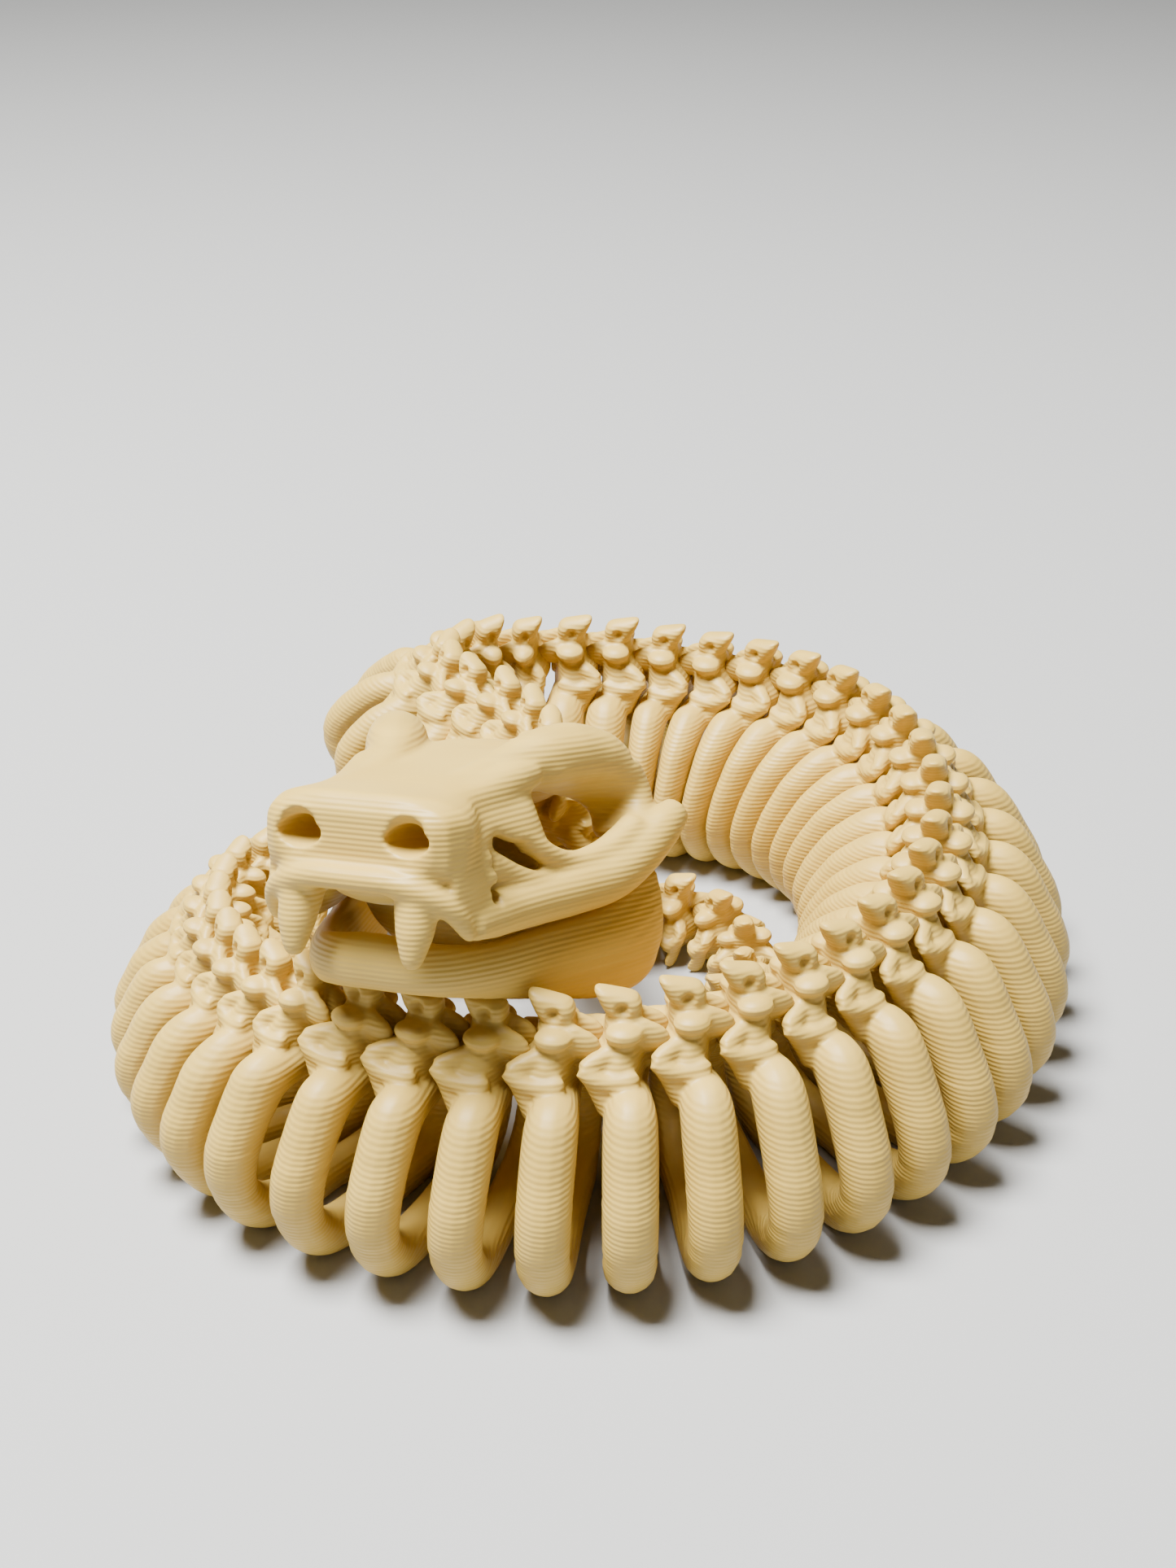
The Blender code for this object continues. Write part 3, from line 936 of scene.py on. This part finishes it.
# ---------------------------------------------------------------- settings
class SkeletonFinish(PropertyGroup):
    colour: FloatVectorProperty(
        name="Bone colour",
        description="Main colour of the printed plastic",
        subtype="COLOR",
        size=3,
        min=0,
        max=1,
        default=(0.59, 0.38, 0.066),
    )
    pale_colour: FloatVectorProperty(
        name="Pale colour",
        description="Colour of the paler patches",
        subtype="COLOR",
        size=3,
        min=0,
        max=1,
        default=(0.66, 0.455, 0.102),
    )
    roughness: FloatProperty(
        name="Roughness",
        description="How matte the plastic is",
        default=0.48,
        min=0,
        max=1,
        subtype="FACTOR",
    )
    layer_depth: FloatProperty(
        name="Layer depth",
        description="Depth of the printed lines",
        default=0.000025,
        min=0,
        max=0.001,
        precision=6,
        unit="LENGTH",
    )


class SkeletonSizes(PropertyGroup):
    link_grain: FloatProperty(
        name="Link grain",
        description="Size of a link's surface cells, in pitches",
        default=0.042,
        min=0.02,
        max=0.3,
    )
    skull_grain: FloatProperty(
        name="Skull grain",
        description="Size of the skull's surface cells, in pitches",
        default=0.04,
        min=0.02,
        max=0.3,
    )


class StageSettings(PropertyGroup):
    floor_size: FloatProperty(
        name="Floor size",
        description="Side of the floor",
        default=4.0,
        min=0.5,
        unit="LENGTH",
    )
    floor_colour: FloatVectorProperty(
        name="Floor colour",
        description="Pale colour of the floor",
        subtype="COLOR",
        size=3,
        min=0,
        max=1,
        default=(0.40, 0.40, 0.39),
    )
    lens: FloatProperty(
        name="Lens",
        description="Focal length of the camera, in millimetres",
        default=47.64,
        min=10,
        unit="CAMERA",
    )


# ---------------------------------------------------------------- operators
class SKELETON_OT_links(Operator):
    """Model the printed links of the body and stand each in its place"""

    bl_idname = "skeleton.links"
    bl_label = "Links"

    def execute(self, context):
        grain = context.scene.skeleton_sizes.link_grain
        templates = {}
        for number, link in enumerate(body_line()):
            size = nearest_class(link.hoop) if link.hoop > SHORTEST_HOOP else 0.0
            if size not in templates:
                templates[size] = model_link(size, grain)
            fit_link(templates[size], link, number)
        for template in templates.values():
            bpy.data.objects.remove(template, do_unlink=True)
        return {"FINISHED"}


class SKELETON_OT_skull(Operator):
    """Model the skull with its snout, brows, cheek bars and fangs"""

    bl_idname = "skeleton.skull"
    bl_label = "Skull"

    def execute(self, context):
        place_on_skull(model_skull(context.scene.skeleton_sizes.skull_grain), "printed_skull", "skull")
        return {"FINISHED"}


class SKELETON_OT_jaw(Operator):
    """Model the lower jaw"""

    bl_idname = "skeleton.jaw"
    bl_label = "Lower jaw"

    def execute(self, context):
        place_on_skull(model_jaw(context.scene.skeleton_sizes.skull_grain), "printed_jaw", "lower_jaw")
        return {"FINISHED"}


class SKELETON_OT_stage(Operator):
    """Lay a pale floor, and set soft lights and the camera"""

    bl_idname = "skeleton.stage"
    bl_label = "Stage"

    def execute(self, context):
        stage = context.scene.skeleton_stage
        deselect()
        bpy.ops.mesh.primitive_plane_add(size=stage.floor_size)
        floor = context.object
        floor.name = "floor"
        paint = bpy.data.materials.new("floor_paint")
        paint.use_nodes = True
        shader = paint.node_tree.nodes["Principled BSDF"]
        shader.inputs["Base Color"].default_value = (*stage.floor_colour, 1)
        shader.inputs["Roughness"].default_value = FLOOR_ROUGHNESS
        floor.data.materials.append(paint)

        for name, place, size, power in LIGHTS:
            bpy.ops.object.light_add(type="AREA", location=place)
            light = context.object
            light.name = name
            light.data.size = size
            light.data.energy = power
            way = Vector(LIGHT_AIM) - Vector(place)
            light.rotation_euler = way.to_track_quat("-Z", "Y").to_euler()

        world = bpy.data.worlds.new("soft_room")
        world.use_nodes = True
        world.node_tree.nodes["Background"].inputs["Color"].default_value = ROOM_COLOUR
        world.node_tree.nodes["Background"].inputs["Strength"].default_value = ROOM_STRENGTH
        context.scene.world = world

        bpy.ops.object.camera_add(location=CAMERA_PLACE, rotation=(CAMERA_TILT, 0, 0))
        camera = context.object
        camera.data.lens = stage.lens
        camera.data.sensor_width = SENSOR_WIDTH
        camera.data.clip_start = NEAREST_SEEN
        context.scene.camera = camera
        return {"FINISHED"}


class SKELETON_PT_panel(Panel):
    bl_label = "Printed python skeleton"
    bl_idname = "SKELETON_PT_panel"
    bl_space_type = "VIEW_3D"
    bl_region_type = "UI"
    bl_category = "Skeleton"

    def draw(self, context):
        for operator in OPERATORS:
            self.layout.operator(operator.bl_idname)


OPERATORS = (SKELETON_OT_stage, SKELETON_OT_links, SKELETON_OT_skull, SKELETON_OT_jaw)
CLASSES = (SkeletonFinish, SkeletonSizes, StageSettings, *OPERATORS, SKELETON_PT_panel)


def register():
    for made in CLASSES:
        bpy.utils.register_class(made)
    bpy.types.Scene.skeleton_finish = PointerProperty(type=SkeletonFinish)
    bpy.types.Scene.skeleton_sizes = PointerProperty(type=SkeletonSizes)
    bpy.types.Scene.skeleton_stage = PointerProperty(type=StageSettings)


def unregister():
    del bpy.types.Scene.skeleton_stage
    del bpy.types.Scene.skeleton_sizes
    del bpy.types.Scene.skeleton_finish
    for made in reversed(CLASSES):
        bpy.utils.unregister_class(made)


def main():
    register()
    bpy.ops.skeleton.stage()
    bpy.ops.skeleton.links()
    bpy.ops.skeleton.skull()
    bpy.ops.skeleton.jaw()


if __name__ == "__main__":
    main()
